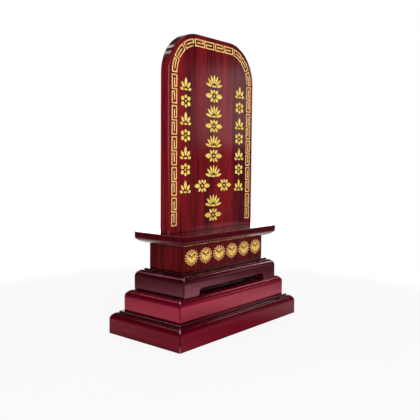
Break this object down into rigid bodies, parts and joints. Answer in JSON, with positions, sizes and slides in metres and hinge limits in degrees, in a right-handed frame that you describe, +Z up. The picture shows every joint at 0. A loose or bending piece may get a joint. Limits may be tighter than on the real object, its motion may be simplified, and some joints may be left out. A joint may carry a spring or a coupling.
{
  "type": "ancestor memorial tablet",
  "caption": "Upright memorial tablet with a rounded top that lifts off a stepped, moulded plinth with a low apron opening; a cover slides up off the name-slip pocket in its back.",
  "frame": {"origin": "centre of the plinth's underside, on the surface that it stands on", "axes": "+Z up along the tablet's height, X along its width, and its gilt front looks along -Y"},
  "size_m": [0.23, 0.115, 0.355],
  "materials": {
    "tablet_lacquer": "clear gloss lacquer over red rosewood, vertical grain",
    "waist_lacquer": "gloss lacquer, vertical grain",
    "shelf_lacquer": "gloss lacquer",
    "tier_1_lacquer": "dark purple-brown gloss lacquer",
    "tier_2_lacquer": "crimson gloss lacquer",
    "tier_3_lacquer": "deep red gloss lacquer",
    "bare_wood": "planed, unfinished",
    "gilding": "gold leaf on carved wood",
    "screw_steel": "zinc plated"
  },
  "bodies": {
    "plinth": {"tier_1_front_rail": "tier_1_lacquer", "tier_1_right_rail": "tier_1_lacquer", "tier_1_back_rail": "tier_1_lacquer", "tier_1_left_rail": "tier_1_lacquer", "tier_1_panel": "tier_1_lacquer", "tier_1_block_1": "bare_wood", "tier_1_block_2": "bare_wood", "tier_1_block_3": "bare_wood", "tier_1_block_4": "bare_wood", "tier_2_front_rail": "tier_2_lacquer", "tier_2_right_rail": "tier_2_lacquer", "tier_2_back_rail": "tier_2_lacquer", "tier_2_left_rail": "tier_2_lacquer", "tier_2_panel": "tier_2_lacquer", "tier_2_block_1": "bare_wood", "tier_2_block_2": "bare_wood", "tier_2_block_3": "bare_wood", "tier_2_block_4": "bare_wood", "tier_3_front_rail": "tier_3_lacquer", "tier_3_right_rail": "tier_3_lacquer", "tier_3_back_rail": "tier_3_lacquer", "tier_3_left_rail": "tier_3_lacquer", "tier_3_panel": "tier_3_lacquer", "tier_3_block_1": "bare_wood", "tier_3_block_2": "bare_wood", "tier_3_block_3": "bare_wood", "tier_3_block_4": "bare_wood", "tier_1_locating_board": "tier_1_lacquer", "waist_front_board": "waist_lacquer", "waist_right_board": "waist_lacquer", "waist_back_board": "waist_lacquer", "waist_left_board": "waist_lacquer", "waist_block_1": "bare_wood", "waist_block_2": "bare_wood", "waist_block_3": "bare_wood", "waist_block_4": "bare_wood", "shelf_dowel_1": "bare_wood", "shelf_dowel_2": "bare_wood", "shelf_dowel_3": "bare_wood", "shelf_dowel_4": "bare_wood", "base_board": "bare_wood", "base_screw_1": "screw_steel", "base_screw_2": "screw_steel", "base_screw_3": "screw_steel", "base_screw_4": "screw_steel", "lotus_medallion_1": "gilding", "lotus_medallion_2": "gilding", "lotus_medallion_3": "gilding", "lotus_medallion_4": "gilding", "lotus_medallion_5": "gilding", "lotus_medallion_6": "gilding", "shelf_board": "shelf_lacquer"},
    "tablet": {"tablet_board": "tablet_lacquer", "name_slip_1": "bare_wood", "name_slip_2": "bare_wood"},
    "cover": {"rear_cover": "tablet_lacquer"}
  },
  "joints": [
    {"name": "tablet_lift", "type": "slide", "parent": "plinth", "child": "tablet", "axis": [0, 0, 1], "range_m": [0, 0.03]},
    {"name": "cover_slide", "type": "slide", "parent": "tablet", "child": "cover", "axis": [0, 0, 1], "range_m": [0, 0.225]}
  ]
}
